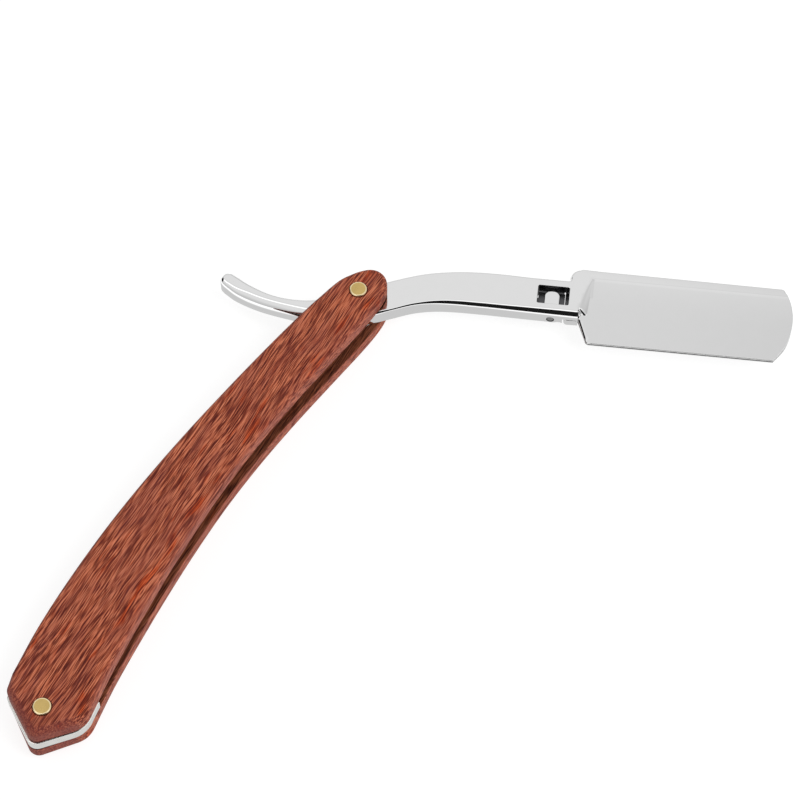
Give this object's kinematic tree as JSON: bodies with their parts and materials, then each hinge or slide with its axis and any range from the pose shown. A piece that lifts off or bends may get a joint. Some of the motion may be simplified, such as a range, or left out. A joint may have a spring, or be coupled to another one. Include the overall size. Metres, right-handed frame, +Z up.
{
  "type": "straight razor",
  "caption": "Folding straight razor with bowed wooden scales, a curved polished arm and a flat two-plate holder for a replaceable half blade.",
  "frame": {"origin": "middle of the bounding box, at the lowest point of the razor lying flat on its back scale", "axes": "+X roughly along the opened arm towards the blade holder, +Y away from the handle's tail, +Z up through the thickness towards the front scale"},
  "size_m": [0.1882, 0.1306, 0.0159],
  "materials": {
    "wood": "oiled reddish hardwood with fine dark pores",
    "brass": "polished flat rivet heads",
    "brushed_steel": "fine brushed",
    "chrome": "mirror polished"
  },
  "bodies": {
    "handle": {"front_scale": "wood", "back_scale": "wood", "tail_spacer": "brushed_steel", "tail_rivet_front": "brass", "tail_rivet_back": "brass", "pivot_rivet_front": "brass", "pivot_rivet_back": "brass", "front_washer": "brushed_steel", "back_washer": "brushed_steel"},
    "arm": {"blade_arm": "chrome", "blade_peg_1": "chrome", "blade_peg_2": "chrome", "blade_peg_3": "chrome", "clamp_rivet": "brushed_steel", "latch_pin": "brushed_steel", "latch_spring": "brushed_steel", "spring_screw": "brushed_steel"},
    "clamp": {"clamp_plate": "chrome"},
    "latch": {"latch_knuckle": "chrome"}
  },
  "joints": [
    {"name": "arm_pivot", "type": "hinge", "parent": "handle", "child": "arm", "pos_m": [-0.01425, 0.05551, 0.00795], "axis": [0, 0, 1], "range_deg": [-117, 150]},
    {"name": "clamp_swing", "type": "hinge", "parent": "arm", "child": "clamp", "pos_m": [0.04521, 0.05971, 0.00795], "axis": [0, 0, 1], "range_deg": [0, 95]},
    {"name": "latch_tilt", "type": "hinge", "parent": "arm", "child": "latch", "pos_m": [0.03421, 0.05683, 0.00735], "axis": [0.1132, 0.9936, 0], "range_deg": [-8, 0], "stiffness_Nm_per_rad": 0.01}
  ]
}
